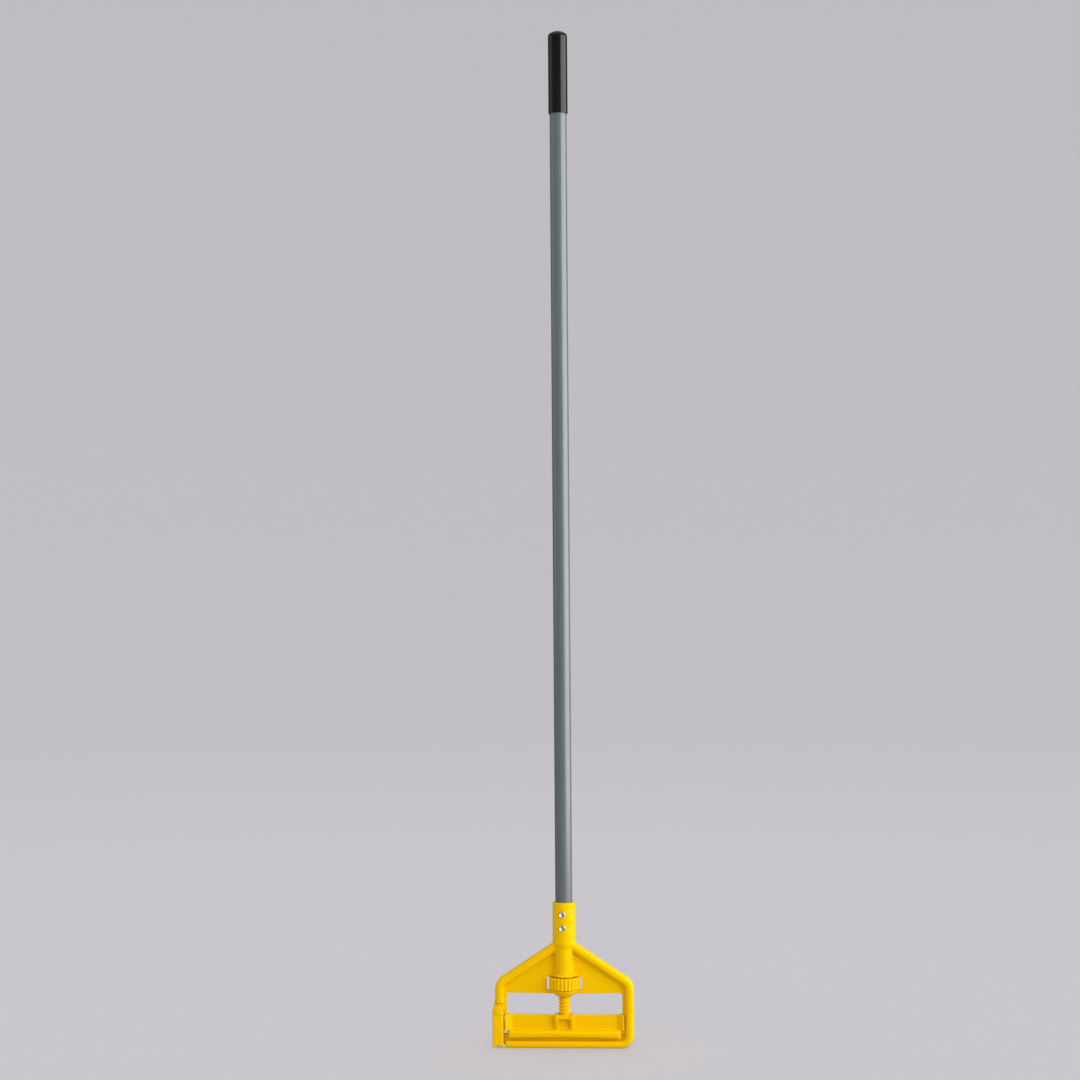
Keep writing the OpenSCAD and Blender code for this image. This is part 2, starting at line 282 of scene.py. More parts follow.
def rim_shape(x, ay, z):
    """The rounded rim: left arm, roof, right rail, bottom corner and bottom bar."""
    ax = np.abs(x)
    u = ax - SHOULDER_X
    v = z - SHOULDER_Z
    roof = np.abs((z - ROOF_MID) * ROOF_COS + ax * ROOF_SIN)
    rail = np.abs(ax - RAIL_X)
    beyond_roof = u * ROOF_COS - v * ROOF_SIN > 0
    line = np.where(beyond_roof,
                    np.where(v > 0, np.abs(np.hypot(u, v) - SHOULDER_R), rail),
                    np.where(v > 0, roof, np.minimum(roof, rail)))
    upper = rod(line, ay, RIM_W / 2, RIM_T / 2, RIM_ROUND)
    upper = np.where(x < 0, meet(upper, ARM_FOOT - z, 1.5), upper)
    u = x - CORNER_X
    v = CORNER_OUT - z
    turn = ease(np.arctan2(v, np.maximum(u, 1e-6)) / (math.pi / 2))
    half = (RIM_W - (RIM_W - BAR_H) * turn) / 2
    bend = np.abs(np.hypot(u, v) - CORNER_OUT + half)
    lower = rod(np.where(u > 0, bend, np.abs(z - BAR_H / 2)), ay, half, RIM_T / 2,
                RIM_ROUND + (BAR_ROUND - RIM_ROUND) * turn)
    lower = meet(lower, -BAR_END - x, 1.5)
    return np.where(z < CORNER_OUT, lower, upper)


def plate_shape(x, ay, z):
    """The thin web under the roof, the guide flanges, the rib on the bar and the latch tongue."""
    ax = np.abs(x)
    web = np.maximum(np.maximum((z - ROOF_MID) * ROOF_COS + ax * ROOF_SIN, ax - RAIL_X),
                     WEB_LOW + WEB_RISE * ax / RAIL_X - z)
    foot = np.where(x > 0, BAR_H, FLANGE_FOOT)
    flange = meet(span(ax, FLANGE_IN, RAIL_X), np.maximum(foot - z, z - WEB_LOW - 5), 0.8)
    outline = join(web, flange, 4.0)
    rib = meet(span(x, -BAR_END, RAIL_X), span(z, BAR_H / 2, RIB_TOP), 0.8)
    outline = join(outline, rib, 1.0)
    tongue = meet(span(x, LATCH_TIP, 4 - BAR_END), span(z, LATCH_LOW, RIB_TOP), 1.2)
    return meet(join(outline, tongue, 0.5), ay - WEB_T / 2, 0.6)


def lug_shape(x, ay, z):
    """The lug at the left arm's foot that carries the gate's pin."""
    pin = np.hypot(x - HINGE_X, z - HINGE_Z)
    step_in, run = 1.6, 3.5
    outer = LUG_OUT + step_in * ease((z - ARM_FOOT) / run)
    post = meet(np.maximum(outer - x, x - LUG_IN), span(z, HINGE_Z + 1.5, ARM_FOOT + 4), 0.5)
    return meet(join(pin - LUG_R, post, 2.0), ay - LUG_T / 2, 0.8)


def column_shape(r, z):
    """Socket, barrel, ring over the wheel and boss under it."""
    radius = BARREL_R + (SOCKET_R - BARREL_R) * ease((z - BARREL_TOP) / BARREL_FLARE)
    tube = meet(r - radius, span(z, RING_Z, SOCKET_TOP), 1.0)
    ring = meet(r - RING_R, span(z, RING_Z, RING_Z + RING_H), 0.9)
    run, rise = BOSS_R - BOSS_NOSE, BOSS_RIM - BOSS_LOW
    cone = ((r - BOSS_R) * rise - (z - BOSS_RIM) * run) / math.hypot(run, rise)
    boss = meet(meet(r - BOSS_R, cone, 2.0), span(z, BOSS_LOW, BOSS_TOP), 0.7)
    return join(tube, ring, 1.0), boss


def head_shape(x, y, z):
    """The whole head, with its window, socket, screw bore, pin hole and rivet holes."""
    ax, ay = np.abs(x), np.abs(y)
    r = np.hypot(x, y)
    body = join(rim_shape(x, ay, z), lug_shape(x, ay, z), 1.5)
    body = join(body, plate_shape(x, ay, z), 1.5)
    tube, boss = column_shape(r, z)
    body = join(join(body, tube, 2.2), boss, 0.8)
    body = cut(body, meet(ax - WINDOW_X, span(z, BOSS_TOP, WINDOW_TOP), 1.0), 0.5)
    body = cut(body, np.maximum(r - POCKET_R, span(z, BOSS_TOP, RING_Z)), 0.3)
    body = cut(body, np.maximum(r - POLE_R - SNUG, SOCKET_FLOOR - z), 0.6)
    body = cut(body, np.maximum(r - BORE_R, span(z, BOSS_LOW - 2, SOCKET_FLOOR + 1)), 0.5)
    body = cut(body, np.hypot(x - HINGE_X, z - HINGE_Z) - PIN_R - SNUG, 0.3)
    along = y * math.cos(RIVET_TURN) - x * math.sin(RIVET_TURN)
    beside = x * math.cos(RIVET_TURN) + y * math.sin(RIVET_TURN)
    for rivet in RIVET_Z:
        bore = np.hypot(beside, z - rivet)
        body = cut(body, np.maximum(bore - RIVET_HEAD_R - 0.3, along + RIVET_SEAT), 0.25)
        body = cut(body, np.maximum(bore - RIVET_R - SNUG, along), 0.2)
    return body


def jaw_shape(x, y, z):
    """The sliding jaw, hollowed for the screw's foot, the flanges and the bar's rib."""
    ax, ay = np.abs(x), np.abs(y)
    arch = 1 - np.minimum(ax / ROLL_X, 1) ** 2
    low = JAW_LOW + JAW_BOW * arch
    roll = rod(np.abs(z - (low + ROLL_TOP) / 2), ay, (ROLL_TOP - low) / 2, ROLL_T / 2, ROLL_ROUND)
    roll = meet(roll, ax - ROLL_X, 3.2)
    top = JAW_TOP - JAW_DIP * arch
    plate = meet(np.maximum(z - top, GROOVE_TOP - z), np.maximum(ay - JAW_HALF, ax - GUIDE_THICK), 0.7)
    face = (ay - GUIDE_HALF) * 0.8 - (ax - GUIDE_THICK) * 0.6
    guide = meet(meet(ay - GUIDE_HALF, face, 1.5), ax - GUIDE_OUT, 1.2)
    guide = meet(guide, span(z, GUIDE_LOW, JAW_TOP), 1.0)
    body = join(join(plate, guide, 1.5), roll, 2.2)
    lean = (YOKE_HALF - YOKE_TOE) / (YOKE_HEEL - ROLL_TOP + 1)
    reach = YOKE_HALF - lean * np.maximum(YOKE_HEEL - z, 0)
    rib = meet(span(ax, YOKE_X - YOKE_RIB, YOKE_X), (ay - reach) * math.cos(math.atan(lean)), 0.9)
    rib = meet(rib, span(z, ROLL_TOP - 3, JAW_TOP), 0.9)
    collar = meet(meet(ax - YOKE_X, ay - YOKE_HALF, 0.9), span(z, COLLAR_LOW, JAW_TOP), 0.9)
    body = join(body, join(rib, collar, 1.2), 1.2)
    body = cut(body, np.maximum(np.hypot(x, y) - NECK_R - FREE, NECK_LOW - 2 * FREE - z), 0.3)
    seat = np.maximum(np.maximum(ax, ay) - FOOT_HALF - FREE, span(z, FOOT_LOW - FREE, FOOT_TOP + FREE))
    body = cut(body, seat, 0.2)
    body = cut(body, np.maximum(ay - SLOT_HALF, FLANGE_IN - 0.5 - ax), 0.4)
    return cut(body, np.maximum(ay - GROOVE_HALF, z - GROOVE_TOP), 0.6)


def thread_radius(x, y, z, grow):
    """The rounded single-start thread's radius, plus grow, at a point's height and heading."""
    turn = z / THREAD_PITCH - np.arctan2(y, x) / (2 * math.pi)
    wave = np.tanh(THREAD_STEEPNESS * np.cos(2 * math.pi * turn)) / math.tanh(THREAD_STEEPNESS)
    swell = 0.5 + 0.5 * wave
    return THREAD_ROOT + grow + THREAD_DEPTH * swell


def screw_shape(x, y, z):
    """The threaded rod, with its plain neck and the square foot that the jaw holds."""
    r = np.hypot(x, y)
    run_in = 1.5
    start = ease((z - THREAD_LOW) / run_in)
    radius = NECK_R + (thread_radius(x, y, z, 0) - NECK_R) * start
    core = (r - radius) * THREAD_SCALE
    core = meet(core, (r + z - SCREW_TIP - SCREW_TIP_R) * math.sqrt(0.5), 0.4)
    core = meet(core, span(z, NECK_LOW, SCREW_TIP), 0.4)
    foot = meet(np.abs(x) - FOOT_HALF, np.abs(y) - FOOT_HALF, 0.8)
    foot = meet(foot, span(z, FOOT_LOW, FOOT_TOP), 0.4)
    return join(core, foot, 0.3)


def wheel_shape(x, y, z):
    """The ribbed nut, threaded to run on the screw."""
    r = np.hypot(x, y)
    share = 2 * math.pi / WHEEL_RIBS
    turn = (np.mod(np.arctan2(y, x) / share, 1.0) - 0.5) * share
    rib = np.hypot(r * np.cos(turn) - WHEEL_R + WHEEL_RIB_R, r * np.sin(turn)) - WHEEL_RIB_R
    body = join(r - WHEEL_R + WHEEL_RIB_DEPTH, rib, 0.7)
    body = meet(body, span(z, WHEEL_LOW, WHEEL_TOP), 1.2)
    body = join(body, meet(r - HUB_R, span(z, HUB_LOW, HUB_TOP), 0.5), 0.5)
    return cut(body, (r - thread_radius(x, y, z, THREAD_ROOM)) * THREAD_SCALE, 0.3)


def gate_shape(x, y, z):
    """The side gate, forked round its lug and slotted for the latch tongue."""
    ay = np.abs(y)
    pin = np.hypot(x - HINGE_X, z - HINGE_Z)
    bar = meet(span(x, GATE_OUT, GATE_IN), span(z, GATE_LOW, HINGE_Z + 0.5), 1.6)
    body = meet(bar, ay - GATE_T / 2 + 0.5, 2.2)
    body = np.maximum(join(body, meet(pin - GATE_R, ay - GATE_T / 2, 1.6), 0.6), GATE_OUT - x)
    tab = meet(meet(span(x, GATE_IN - 3, TAB_TIP), span(z, TAB_LOW, TAB_TOP), 1.5), ay - WEB_T / 2, 0.7)
    body = join(body, tab, 1.2)
    body = cut(body, np.maximum(ay - FORK_HALF, FORK_FLOOR - z), 0.5)
    slot = np.maximum(LATCH_TIP - 1 - x, span(z, LATCH_LOW - 0.6, RIB_TOP + 1.7))
    body = cut(body, np.maximum(ay - SLOT_HALF, slot), 0.4)
    return cut(body, pin - PIN_R - 0.02, 0.2)


# ---------------------------------------------------------------- meshing

# a grid block's side in voxels, and how many blocks are worked out at once
BLOCK = 8
BATCH = 4000
# the mesh is grown from a margin of this many voxels round a shape's box
MARGIN = 2.5
QUICK = 1.6
# steps that pull a vertex onto the surface, each of at most this many voxels
PULLS = 4
PULL_MOST = 0.4
# how far round a point its curvature is felt, and how strongly that marks an edge
EDGE_REACH = 0.5
EDGE_GAIN = 0.7
# a turned corner's facets, and the rounding below which it counts as an edge
ARC_STEP = math.radians(11)
EDGE_ROUND = 3.0
EDGE_MARK = 0.8


def slope_of(shape, x, y, z, h):
    """Slope of the distance function along each axis, by central differences."""
    return np.stack([shape(x + h, y, z) - shape(x - h, y, z),
                     shape(x, y + h, z) - shape(x, y - h, z),
                     shape(x, y, z + h) - shape(x, y, z - h)], 1) / (2 * h)


def sampled(shape, low, voxel, blocks):
    """The distance field on a grid, worked out only in the blocks the surface may pass."""
    band = 3 * voxel
    reach = voxel * BLOCK
    middles = [low[k] + reach * (np.arange(blocks[k]) + 0.5) - voxel / 2 for k in range(3)]
    coarse = shape(*np.meshgrid(*middles, indexing="ij"))
    field = np.sign(coarse) * band
    for k in range(3):
        field = np.repeat(field, BLOCK, k)
    cells = field.reshape(blocks[0], BLOCK, blocks[1], BLOCK, blocks[2], BLOCK)
    near = np.argwhere(np.abs(coarse) < reach)
    step = np.arange(BLOCK) * voxel
    for part in np.array_split(near, max(1, len(near) // BATCH)):
        corner = low + part * reach
        x = corner[:, 0, None, None, None] + step[None, :, None, None]
        y = corner[:, 1, None, None, None] + step[None, None, :, None]
        z = corner[:, 2, None, None, None] + step[None, None, None, :]
        value = np.clip(shape(*np.broadcast_arrays(x, y, z)), -band, band)
        cells[part[:, 0], :, part[:, 1], :, part[:, 2], :] = value
    return field


def as_object(name, points, faces, normals, edge):
    """A smooth mesh object from millimetre points, with its exact normals and an edge mask."""
    mesh = bpy.data.meshes.new(name)
    mesh.from_pydata((points * MM).tolist(), [], faces)
    mesh.shade_smooth()
    layer = mesh.attributes.new("edge", "FLOAT", "POINT")
    layer.data.foreach_set("value", edge.astype(np.float32))
    mesh.normals_split_custom_set_from_vertices(normals.tolist())
    obj = bpy.data.objects.new(name, mesh)
    bpy.context.scene.collection.objects.link(obj)
    return obj


def pulled(shape, points, voxel):
    """The points, moved along the shape's slope onto its exact surface."""
    for _ in range(PULLS):
        slope = slope_of(shape, *points.T, 0.02)
        pull = (shape(*points.T) / np.maximum((slope * slope).sum(1), 0.05))[:, None] * slope
        length = np.linalg.norm(pull, axis=1, keepdims=True)
        points = points - pull * np.minimum(1, PULL_MOST * voxel / np.maximum(length, 1e-9))
    return points


def edge_mask(shape, points):
    """From the surface's curvature: up to 1 on a convex edge, down to -1 in a hollow."""
    bulge = -6 * shape(*points.T)
    for k in range(3):
        for side in (-EDGE_REACH, EDGE_REACH):
            moved = points.copy()
            moved[:, k] += side
            bulge = bulge + shape(*moved.T)
    return np.clip(bulge / EDGE_REACH ** 2 * EDGE_GAIN, -1, 1)


def moulded(name, shape, low, high, voxel, adapt=0.04):
    """Meshes a distance function inside the box low..high, with its exact normals."""
    voxel = voxel if FINE else voxel * QUICK
    low = np.array(low, float) - MARGIN * voxel
    blocks = np.ceil((np.array(high, float) + MARGIN * voxel - low) / (voxel * BLOCK)).astype(int)
    grid = vdb.FloatGrid(3 * voxel)
    grid.copyFromArray(sampled(shape, low, voxel, blocks).astype(np.float32))
    points, triangles, quads = grid.convertToPolygons(isovalue=0.0, adaptivity=adapt)
    points = pulled(shape, low + points * voxel, voxel)
    normals = slope_of(shape, *points.T, 0.05)
    normals /= np.maximum(np.linalg.norm(normals, axis=1, keepdims=True), 1e-9)
    faces = triangles.tolist() + quads.tolist()
    return as_object(name, points, faces, normals, edge_mask(shape, points))


def outline(corners, closed):
    """Points, outward normals and edge mask along a polygon whose corners are rounded.

    Each corner is (radius from the axis, distance along it, rounding); the solid is on the left.
    """
    count = len(corners)
    rows = []
    for i, (r, s, rounding) in enumerate(corners):
        here = np.array([r, s])
        if not closed and i in (0, count - 1):
            other = np.array(corners[1 if i == 0 else count - 2][:2])
            way = (other - here) if i == 0 else (here - other)
            way = way / np.linalg.norm(way)
            rows.append((here, np.array([way[1], -way[0]]), 0.0))
            continue
        back = np.array(corners[i - 1][:2]) - here
        ahead = np.array(corners[(i + 1) % count][:2]) - here
        back = back / np.linalg.norm(back)
        ahead = ahead / np.linalg.norm(ahead)
        turn = back[1] * ahead[0] - back[0] * ahead[1]
        opening = math.acos(max(-1.0, min(1.0, float(back @ ahead))))
        reach = rounding / math.tan(opening / 2)
        middle = here + (back + ahead) / np.linalg.norm(back + ahead) * rounding / math.sin(opening / 2)
        start = here + back * reach - middle
        sweep = (math.pi - opening) * (1 if turn > 0 else -1)
        steps = max(2, int(abs(sweep) / ARC_STEP))
        mask = math.copysign(EDGE_MARK, turn) if rounding < EDGE_ROUND else 0.0
        for k in range(steps + 1):
            a = sweep * k / steps
            arm = np.array([start[0] * math.cos(a) - start[1] * math.sin(a),
                            start[0] * math.sin(a) + start[1] * math.cos(a)])
            normal = arm / rounding * (1 if turn > 0 else -1)
            rows.append((middle + arm, normal, mask))
    return rows


def turned(name, corners, closed=False, segments=96, places=(Matrix.Identity(4),)):
    """Spins a rounded outline about an axis; places are the axes, each with its own copy."""
    rows = outline(corners, closed)
    segments = segments if FINE else segments // 2
    points, normals, edge, faces = [], [], [], []
    for place in places:
        rings = []
        for (r, s), (across, along), mask in rows:
            on_axis = r < 1e-6
            ring = []
            for k in range(1 if on_axis else segments):
                a = 2 * math.pi * k / segments
                out = Vector((math.cos(a), math.sin(a), 0))
                points.append(place @ (out * float(r) + Vector((0, 0, float(s)))))
                lean = Vector((0, 0, float(along))) + (Vector() if on_axis else out * float(across))
                normals.append((place.to_3x3() @ lean).normalized())
                edge.append(mask)
                ring.append(len(points) - 1)
            rings.append(ring)
        pairs = list(zip(rings, rings[1:])) + ([(rings[-1], rings[0])] if closed else [])
        for a, b in pairs:
            for k in range(segments):
                n = (k + 1) % segments
                if len(a) == 1:
                    faces.append((a[0], b[n], b[k]))
                elif len(b) == 1:
                    faces.append((a[k], a[n], b[0]))
                else:
                    faces.append((a[k], a[n], b[n], b[k]))
    return as_object(name, np.array([list(p) for p in points]), faces,
                     np.array([list(n) for n in normals]), np.array(edge))


# ---------------------------------------------------------------- the turned parts

outward = Matrix.Rotation(RIVET_TURN, 4, "Z") @ Matrix.Rotation(math.pi / 2, 4, "X")
across = [Matrix.Translation((0, 0, z)) @ outward for z in RIVET_Z]
hinge = Matrix.Translation((HINGE_X, 0, HINGE_Z)) @ Matrix.Rotation(math.pi / 2, 4, "X")


def fibreglass_tube():
    """The pole: a plain tube with its cut ends just broken."""
    inner, lip = POLE_R - POLE_WALL, 0.4
    return turned("pole", [(inner, POLE_LOW, lip), (POLE_R, POLE_LOW, lip),
                           (POLE_R, POLE_TOP, lip), (inner, POLE_TOP, lip)], closed=True)


def dipped_grip():
    """A sleeve over the tube's top, its end closed by a soft dome."""
    inner = POLE_R + 0.02
    return turned("grip", [(0, POLE_TOP, 0), (inner, POLE_TOP, 0.3), (inner, GRIP_LOW, 0.35),
                           (GRIP_R, GRIP_LOW, 0.8), (GRIP_R, GRIP_SHOULDER, 5.2),
                           (GRIP_CROWN_R, GRIP_TOP, 17.5), (0, GRIP_TOP, 0)])


def rivet_bodies():
    """Two sleeves, each with a bulb inside the tube and a rolled, dished head outside."""
    bulb = [(RIVET_BORE, BULB_LOW, 0.1), (BULB_R, BULB_LOW, 0.4), (BULB_R, BULB_TOP, 0.4),
            (RIVET_R, BULB_TOP, 0.1)]
    head_rim = [(RIVET_R, RIVET_SEAT, 0.1), (RIVET_HEAD_R, RIVET_SEAT, 0.2), (4.7, 17.8, 0.8),
                (4.1, RIVET_CROWN, 0.25)]
    dish = [(3.0, 17.2, 1.6), (RIVET_BORE, RIVET_DISH, 0.05)]
    return turned("rivets", bulb + head_rim + dish, closed=True, segments=48, places=across)


def rivet_mandrels():
    """The stubs left in the rivets: a knob inside the tube, a broken face in the dish."""
    return turned("mandrels", [(0, MANDREL_END, 0), (MANDREL_KNOB_R, MANDREL_END, 0.5),
                               (MANDREL_KNOB_R, BULB_LOW, 0.2), (MANDREL_R, BULB_LOW, 0.1),
                               (MANDREL_R, MANDREL_BREAK, 0.04), (0, MANDREL_BREAK - 0.08, 0)],
                  segments=32, places=across)


def gate_pin():
    """The gate's pin, with the same low stepped button on both ends."""
    button = [(PIN_R, PIN_CAP_FOOT, 0.1), (PIN_CAP_R, PIN_CAP_FOOT, 0.1),
              (PIN_CAP_R, PIN_CAP_FACE, 0.5), (PIN_TIP_R, PIN_CAP_FACE, 0.1),
              (PIN_TIP_R, PIN_TIP, 0.3), (0, PIN_TIP, 0)]
    far = [(r, -along, rounding) for r, along, rounding in reversed(button)]
    return turned("pin", far + button, segments=48, places=[hinge])


# ---------------------------------------------------------------- materials


class Shader:
    """One procedural material's node tree."""

    def __init__(self, name):
        self.material = bpy.data.materials.new(name)
        self.material.use_nodes = True
        self.tree = self.material.node_tree
        self.tree.nodes.clear()

    def add(self, kind, inputs=(), **settings):
        node = self.tree.nodes.new(kind)
        for key, value in settings.items():
            setattr(node, key, value)
        for key, value in dict(inputs).items():
            self.put(node.inputs[key], value)
        return node

    def put(self, socket, value):
        if isinstance(value, bpy.types.NodeSocket):
            self.tree.links.new(value, socket)
        else:
            socket.default_value = value

    def place(self, stretch=(1, 1, 1)):
        """The piece's own coordinates, stretched along its axes."""
        own = self.add("ShaderNodeTexCoord").outputs["Object"]
        return self.add("ShaderNodeMapping", {"Vector": own, "Scale": stretch}).outputs["Vector"]

    def noise(self, scale, detail=3.0, stretch=(1, 1, 1), roughness=0.5):
        node = self.add("ShaderNodeTexNoise", {"Vector": self.place(stretch), "Scale": scale,
                                               "Detail": detail, "Roughness": roughness})
        return node.outputs["Fac"]

    def remap(self, value, low, high, to_low, to_high):
        node = self.add("ShaderNodeMapRange", {"Value": value, "From Min": low, "From Max": high,
                                               "To Min": to_low, "To Max": to_high})
        return node.outputs["Result"]

    def maths(self, operation, a, b=0.0):
        node = self.add("ShaderNodeMath", operation=operation)
        self.put(node.inputs[0], a)
        self.put(node.inputs[1], b)
        return node.outputs[0]

    def mix(self, factor, a, b):
        node = self.add("ShaderNodeMix", data_type="RGBA")
        self.put(node.inputs[0], factor)
        self.put(node.inputs[6], a)
        self.put(node.inputs[7], b)
        return node.outputs[2]

    def edge(self, low, high):
        """How strongly a place is a convex edge, from the mesh's own mask."""
        mask = self.add("ShaderNodeAttribute", attribute_name="edge").outputs["Fac"]
        return self.remap(mask, low, high, 0.0, 1.0)

    def bump(self, height, distance, normal=None):
        inputs = {"Height": height, "Distance": distance, "Strength": 1.0}
        if normal is not None:
            inputs["Normal"] = normal
        return self.add("ShaderNodeBump", inputs).outputs["Normal"]

    def finish(self, inputs):
        surface = self.add("ShaderNodeBsdfPrincipled", inputs)
        out = self.add("ShaderNodeOutputMaterial")
        self.tree.links.new(surface.outputs["BSDF"], out.inputs["Surface"])
        return self.material


def yellow_plastic():
    """Injection-moulded plastic: flow clouding, fine haze, slightly paler and duller on edges, and a
    painted shade of deeper orange in hollows.
    """
    s = Shader("yellow_plastic")
    cloud = s.remap(s.noise(22, 4), 0.3, 0.7, 0.0, 1.0)
    speck = s.remap(s.noise(900, 2), 0.35, 0.65, 0.0, 1.0)
    body = s.mix(cloud, (0.835, 0.482, 0.0007, 1), (0.860, 0.516, 0.0009, 1))
    body = s.mix(s.maths("MULTIPLY", speck, 0.10), body, (0.81, 0.440, 0.0006, 1))
    # painted shade: hollows pulled towards a deeper orange, the colour light takes as it bounces
    # between yellow faces
    hollow = s.edge(-0.3, -1.0)
    body = s.mix(s.maths("MULTIPLY", hollow, 0.5), body, (0.92, 0.40, 0.0005, 1))
    rubbed = s.maths("MULTIPLY", s.edge(0.35, 1.0), s.remap(s.noise(160, 4), 0.4, 0.65, 0.2, 1.0))
    body = s.mix(s.maths("MULTIPLY", rubbed, 0.25), body, (0.92, 0.60, 0.006, 1))
    rough = s.remap(s.noise(70, 4), 0.3, 0.7, 0.40, 0.50)
    rough = s.maths("ADD", rough, s.maths("MULTIPLY", rubbed, 0.08))
    normal = s.bump(s.noise(1500, 2), 0.000012)
    normal = s.bump(s.noise(60, 2), 0.00010, normal)
    return s.finish({"Base Color": body, "Roughness": rough, "Specular IOR Level": 0.24,
                     "Specular Tint": (0.75, 0.95, 0.03, 1), "Normal": normal})


def grey_fibreglass():
    """Pultruded fibreglass: fine lengthwise fibres under a satin skin, a few faint rubs."""
    s = Shader("grey_fibreglass")
    fibre = s.remap(s.noise(1100, 3, (1, 1, 0.012)), 0.3, 0.7, 0.0, 1.0)
    cloud = s.remap(s.noise(16, 3, (1, 1, 0.25)), 0.3, 0.7, 0.0, 1.0)
    body = s.mix(fibre, (0.104, 0.129, 0.137, 1), (0.134, 0.162, 0.170, 1))
    body = s.mix(s.maths("MULTIPLY", cloud, 0.35), body, (0.096, 0.119, 0.127, 1))
    rub = s.remap(s.noise(260, 5, (1, 1, 0.08), 0.65), 0.66, 0.78, 0.0, 0.35)
    body = s.mix(rub, body, (0.18, 0.205, 0.21, 1))
    rough = s.maths("ADD", s.remap(cloud, 0, 1, 0.25, 0.31), s.maths("MULTIPLY", rub, 0.2))
    normal = s.bump(fibre, 0.000010)
    return s.finish({"Base Color": body, "Roughness": rough, "Specular IOR Level": 0.9,
                     "Normal": normal})


def black_vinyl():
    """Dipped vinyl: near-black, glossy, with a slow ripple and a little dust in the skin."""
    s = Shader("black_vinyl")
    dust = s.remap(s.noise(420, 5, roughness=0.65), 0.55, 0.75, 0.0, 1.0)
    body = s.mix(s.maths("MULTIPLY", dust, 0.4), (0.0075, 0.0070, 0.0075, 1), (0.020, 0.019, 0.020, 1))
    rough = s.remap(s.noise(45, 4), 0.3, 0.7, 0.11, 0.16)
    rough = s.maths("ADD", rough, s.maths("MULTIPLY", s.edge(0.2, 0.9), 0.06))
    normal = s.bump(s.noise(55, 3, (1, 1, 0.3)), 0.00010)
    normal = s.bump(s.noise(1300, 2), 0.000008, normal)
    return s.finish({"Base Color": body, "Roughness": rough, "Specular IOR Level": 0.42,
                     "Normal": normal})


def bright_metal(name, light, dark, rough_low, rough_high):
    """Rolled or broken metal with fine scoring."""
    s = Shader(name)
    score = s.remap(s.noise(2600, 3, (1, 0.15, 1)), 0.3, 0.7, 0.0, 1.0)
    stain = s.remap(s.noise(500, 4), 0.4, 0.7, 0.0, 0.6)
    body = s.mix(stain, light, dark)
    rough = s.remap(score, 0, 1, rough_low, rough_high)
    return s.finish({"Base Color": body, "Metallic": 1.0, "Roughness": rough,
                     "Normal": s.bump(score, 0.000006)})


# ---------------------------------------------------------------- the pieces, on their bodies

yellow = yellow_plastic()
grey = grey_fibreglass()
black = black_vinyl()
rolled = bright_metal("rivet_metal", (0.90, 0.91, 0.94, 1), (0.80, 0.81, 0.84, 1), 0.16, 0.26)
broken = bright_metal("rivet_steel", (0.70, 0.71, 0.74, 1), (0.45, 0.45, 0.48, 1), 0.34, 0.50)

# a moulded piece has the box that holds it and its voxel, in millimetres
head = moulded("head", head_shape, (-106, -19, -0.5), (104.5, 19, 218.5), 0.45, 0.015)
jaw = moulded("jaw", jaw_shape, (-90, -13, 13), (90, 13, 50), 0.41)
gate = moulded("gate", gate_shape, (-108.5, -11.5, 2), (-87, 11.5, 64), 0.40)
screw = moulded("screw", screw_shape, (-9.2, -9.2, 43), (9.2, 9.2, 125.5), 0.28, 0.08)
wheel = moulded("wheel", wheel_shape, (-23.2, -23.2, 87), (23.2, 23.2, 107), 0.36)
pole = fibreglass_tube()
grip = dipped_grip()
rivets = rivet_bodies()
mandrels = rivet_mandrels()
pin = gate_pin()

LAYOUT = [
    (head, "head", "head_frame", "yellow_plastic", yellow),
    (pole, "head", "pole_tube", "grey_fibreglass", grey),
    (grip, "head", "hand_grip", "black_vinyl", black),
    (rivets, "head", "rivet_bodies", "rivet_metal", rolled),
    (mandrels, "head", "rivet_mandrels", "rivet_steel", broken),
    (wheel, "wheel", "thumb_wheel", "yellow_plastic", yellow),
    (jaw, "jaw", "clamp_jaw", "yellow_plastic", yellow),
    (screw, "jaw", "clamp_screw", "yellow_plastic", yellow),
    (gate, "gate", "side_gate", "yellow_plastic", yellow),
    (pin, "gate", "gate_pin", "yellow_plastic", yellow),
]
for piece, body, node, slot, material in LAYOUT:
    piece.data.materials.append(material)
    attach(piece, body)
    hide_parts(node)

# ---------------------------------------------------------------- studio


def backdrop():
    """A pale bowl, the same on every side: a level floor that curves up into a round wall.

    Its floor is a hair under the part. Reflections see it nearly dark, so that only the
    softboxes show in glossy pieces.
    """
    s = Shader("backdrop")
    glow = s.add("ShaderNodeEmission", {"Color": (0.985, 0.965, 1.0, 1), "Strength": 0.295})
    matt = s.add("ShaderNodeBsdfDiffuse", {"Color": (0.42, 0.41, 0.43, 1)})
    both = s.add("ShaderNodeAddShader")
    s.put(both.inputs[0], glow.outputs[0])
    s.put(both.inputs[1], matt.outputs[0])
    dim = s.add("ShaderNodeEmission", {"Color": (1, 1, 1, 1), "Strength": 0.10})
    shown = s.add("ShaderNodeMixShader")
    s.put(shown.inputs[0], s.add("ShaderNodeLightPath").outputs["Is Glossy Ray"])
    s.put(shown.inputs[1], both.outputs[0])
    s.put(shown.inputs[2], dim.outputs[0])
    s.put(s.add("ShaderNodeOutputMaterial").inputs["Surface"], shown.outputs[0])
    radius, wall, sweep = 9500, 9000, 3000
    bowl = turned("bowl", [(0, 0, 0), (radius, 0, sweep), (radius, wall, 0)], segments=128)
    bowl.location.z = -0.2 * MM
    bowl.data.materials.append(s.material)


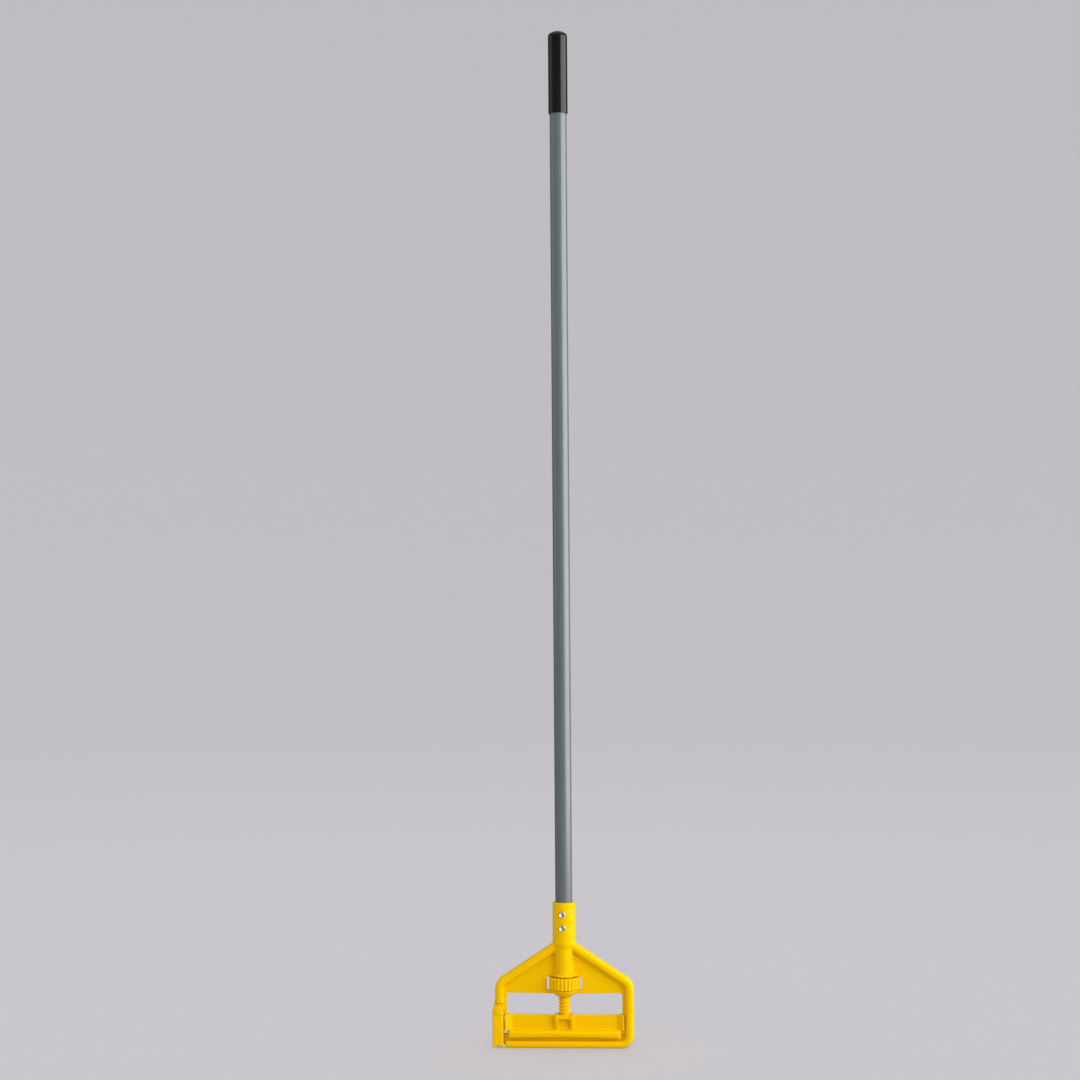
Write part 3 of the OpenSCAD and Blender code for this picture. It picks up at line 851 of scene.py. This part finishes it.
def softbox(name, place, aim, size, radiance, seen_by, lit=()):
    """An area light at a place, turned to a height on the pole's axis.

    It lights matt surfaces, shows in glossy ones, or does both. With pieces in lit, it lights
    only those, so the floor has no bands where a softbox ends.
    """
    width, height = size
    data = bpy.data.lights.new(name, "AREA")
    data.shape = "RECTANGLE"
    data.size = width
    data.size_y = height
    data.energy = radiance * math.pi * width * height
    light = bpy.data.objects.new(name, data)
    light.location = place
    light.rotation_euler = (Vector((0, 0, aim)) - Vector(place)).to_track_quat("-Z", "Y").to_euler()
    light.visible_camera = False
    light.visible_diffuse = "matt" in seen_by
    light.visible_glossy = "glossy" in seen_by
    bpy.context.scene.collection.objects.link(light)
    if lit:
        receivers = bpy.data.collections.new(name + "_lit")
        for piece in lit:
            receivers.objects.link(piece)
        light.light_linking.receiver_collection = receivers


def around(angle, distance, height):
    """A place around the part; angle 0 is in front of it, 90 at its right."""
    a = math.radians(angle)
    return (distance * math.sin(a), -distance * math.cos(a), height)


def camera():
    """Level, just right of square on, and far enough back to flatten the view."""
    distance, yaw, roll, aside, height = 3.6, math.radians(3.6), math.radians(0.42), 0.0317, 0.761
    data = bpy.data.cameras.new("camera")
    data.lens = 80
    data.sensor_width = 36
    obj = bpy.data.objects.new("camera", data)
    place = (distance * math.sin(yaw) - aside * math.cos(yaw),
             -distance * math.cos(yaw) - aside * math.sin(yaw), height)
    obj.matrix_world = (Matrix.Translation(place) @ Matrix.Rotation(yaw, 4, "Z")
                        @ Matrix.Rotation(math.pi / 2, 4, "X") @ Matrix.Rotation(-roll, 4, "Z"))
    bpy.context.scene.collection.objects.link(obj)
    bpy.context.scene.camera = obj


def surroundings():
    """An even pale light from all round, with the colours shown as they are."""
    world = bpy.data.worlds.new("studio")
    world.use_nodes = True
    background = world.node_tree.nodes["Background"]
    background.inputs["Color"].default_value = (0.62, 0.61, 0.63, 1)
    background.inputs["Strength"].default_value = 0.95
    scene = bpy.context.scene
    scene.world = world
    scene.view_settings.view_transform = "Standard"
    scene.view_settings.look = "None"


def softboxes():
    """A key at the right draws the pole's long highlight, and broad matt lights do the rest."""
    part = [row[0] for row in LAYOUT]
    softbox("key", around(76, 1.6, 1.0), aim=1.0, size=(2.4, 1.92), radiance=3.5,
            seen_by="glossy", lit=part)
    softbox("wash", around(76, 2.6, 1.5), aim=0.5, size=(3.9, 2.6), radiance=2.9,
            seen_by="matt", lit=part)
    softbox("low", around(60, 1.8, 0.36), aim=0.1, size=(1.4, 0.6), radiance=4.4,
            seen_by="matt", lit=part)
    softbox("front", around(-28, 4.6, 1.9), aim=0.4, size=(4.0, 2.8), radiance=0.86,
            seen_by="matt", lit=part)
    softbox("fill", around(-88, 3.4, 1.5), aim=0.8, size=(2.6, 2.4), radiance=0.55,
            seen_by="matt, glossy", lit=part)
    softbox("back", around(155, 4.2, 1.9), aim=0.4, size=(3.0, 2.4), radiance=0.5,
            seen_by="matt", lit=part)
    softbox("glint", around(28, 0.3, 0.19), aim=0.19, size=(0.50, 0.34), radiance=1.0,
            seen_by="glossy", lit=[rivets, mandrels])
    softbox("above", (0, 0, 4.0), aim=0.0, size=(8.0, 8.0), radiance=0.28, seen_by="matt")


backdrop()
softboxes()
surroundings()
camera()
